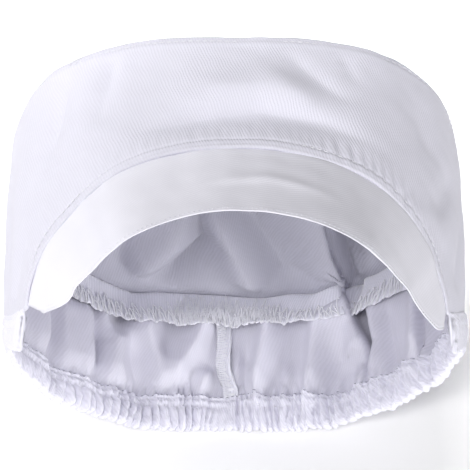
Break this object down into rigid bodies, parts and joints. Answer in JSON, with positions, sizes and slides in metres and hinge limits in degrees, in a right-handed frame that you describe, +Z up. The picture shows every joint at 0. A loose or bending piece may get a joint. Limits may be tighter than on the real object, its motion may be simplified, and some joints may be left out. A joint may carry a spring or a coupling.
{
  "type": "visor chef cap",
  "caption": "White twill cook's cap with a tall front, a soft visor and a gathered elastic back, lying on its back wall with the opening to the front.",
  "frame": {"origin": "on the floor under the middle of the cap's box, as it lies on its back wall", "axes": "+X across the head, +Y from the open rim to the crown, +Z up from the back wall to the front panel and visor"},
  "size_m": [0.1952, 0.1246, 0.1701],
  "materials": {
    "band_twill": "white polyester-cotton twill, pressed, soft folds",
    "crown_twill": "white polyester-cotton twill, single layer",
    "visor_twill": "white twill over a soft stiffener, smooth",
    "casing_twill": "white twill gathered over elastic, two rows of topstitching",
    "seam_edges": "white twill edges with overlock thread"
  },
  "bodies": {
    "root": {"side_band": "band_twill", "crown_panel": "crown_twill", "visor": "visor_twill", "elastic_casing": "casing_twill", "crown_seam_allowance": "seam_edges", "back_seam_allowance": "seam_edges"}
  },
  "joints": []
}
